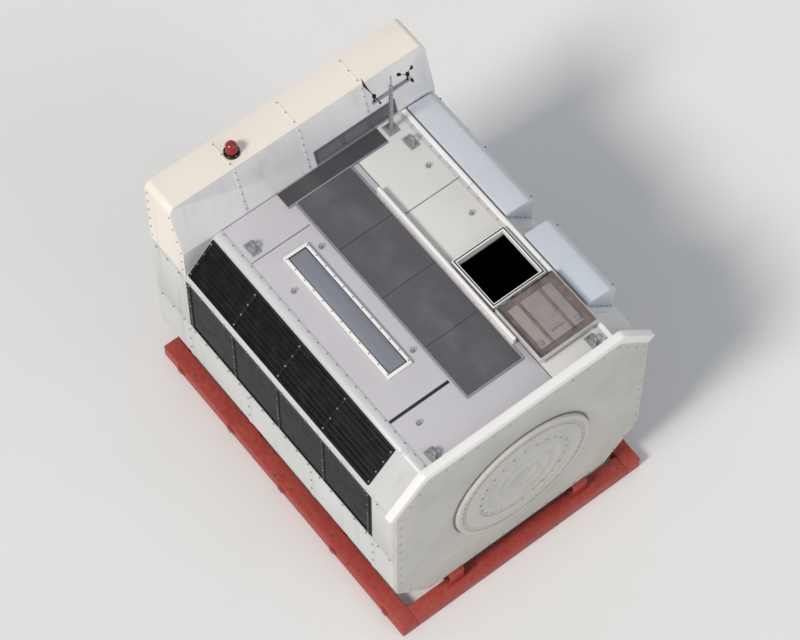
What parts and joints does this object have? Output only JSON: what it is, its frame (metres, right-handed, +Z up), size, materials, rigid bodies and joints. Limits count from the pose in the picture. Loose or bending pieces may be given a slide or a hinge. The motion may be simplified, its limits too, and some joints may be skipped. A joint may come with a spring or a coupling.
{
  "type": "wind turbine nacelle on its transport frame",
  "caption": "Boxy wind turbine machine house with a raised rear cooler bar, roof walkway, open roof hatch, side louvres and round rotor flange, standing on a steel transport frame.",
  "frame": {"origin": "on the ground, under the middle of the assembly", "axes": "+X along the length towards the rotor end, +Y to the left, +Z up"},
  "size_m": [5.4, 4.3072, 5.26],
  "materials": {
    "hull_white": "light grey-white gel-coated laminate, satin, slightly weathered",
    "cooler_cream": "warm off-white gel coat, satin",
    "end_grey": "light warm grey paint, matt",
    "frame_red": "red primer paint on rolled steel, chipped at the edges",
    "walkway_grey": "dark grey gritty anti-slip covering",
    "louvre_black": "black powder-coated sheet, satin",
    "cast_grey": "grey painted casting with machined faces",
    "galvanised_steel": "hot-dip galvanised steel",
    "lid_lining": "bare brown-grey laminate inner face of the lid",
    "rubber": "black rubber buffer",
    "lamp_red": "red translucent lens",
    "roof_glass": "smoky acrylic pane"
  },
  "bodies": {
    "housing": {"end_beam_rear": "frame_red", "end_beam_front": "frame_red", "side_rail_left": "frame_red", "side_rail_right": "frame_red", "shoulder_hood_rear": "hull_white", "shoulder_hood_front": "hull_white", "shoulder_grille": "louvre_black", "cross_beam_rear": "frame_red", "cross_beam_front": "frame_red", "long_beam_left": "frame_red", "long_beam_right": "frame_red", "yaw_ring": "cast_grey", "main_frame": "cast_grey", "rotor_flange": "cast_grey", "flange_cover": "end_grey", "floor": "hull_white", "lower_hull_left": "hull_white", "lower_hull_right": "hull_white", "side_wall_left_rear": "hull_white", "side_wall_left_front": "hull_white", "side_wall_right_rear": "hull_white", "side_wall_right_front": "hull_white", "louvre_left": "louvre_black", "louvre_right": "louvre_black", "shoulder_left": "hull_white", "shoulder_right": "hull_white", "rear_wall": "hull_white", "front_wall": "end_grey", "front_rim": "hull_white", "roof_panel_main": "hull_white", "roof_panel_rear": "hull_white", "roof_panel_front": "hull_white", "walkway": "walkway_grey", "cross_walkway": "walkway_grey", "walkway_kerb": "hull_white", "skylight_frame": "hull_white", "skylight_pane": "roof_glass", "lifting_lug_left_rear": "galvanised_steel", "lifting_lug_right_rear": "galvanised_steel", "lifting_lug_left_front": "galvanised_steel", "lifting_lug_right_front": "galvanised_steel", "hatch_coaming": "hull_white", "hatch_hinge": "galvanised_steel", "lid_rest": "rubber", "cooler_housing": "cooler_cream", "cooler_core": "louvre_black", "cooler_vent": "louvre_black", "rear_outlet": "louvre_black", "weather_mast": "galvanised_steel", "anemometer": "louvre_black", "wind_vane": "louvre_black", "warning_light": "lamp_red"},
    "hatch_lid": {"roof_hatch_lid": "lid_lining"}
  },
  "joints": [
    {"name": "hatch_hinge_axis", "type": "hinge", "parent": "housing", "child": "hatch_lid", "pos_m": [1.235, 1, 4.09], "axis": [0, -1, 0], "range_deg": [0, 180]}
  ]
}
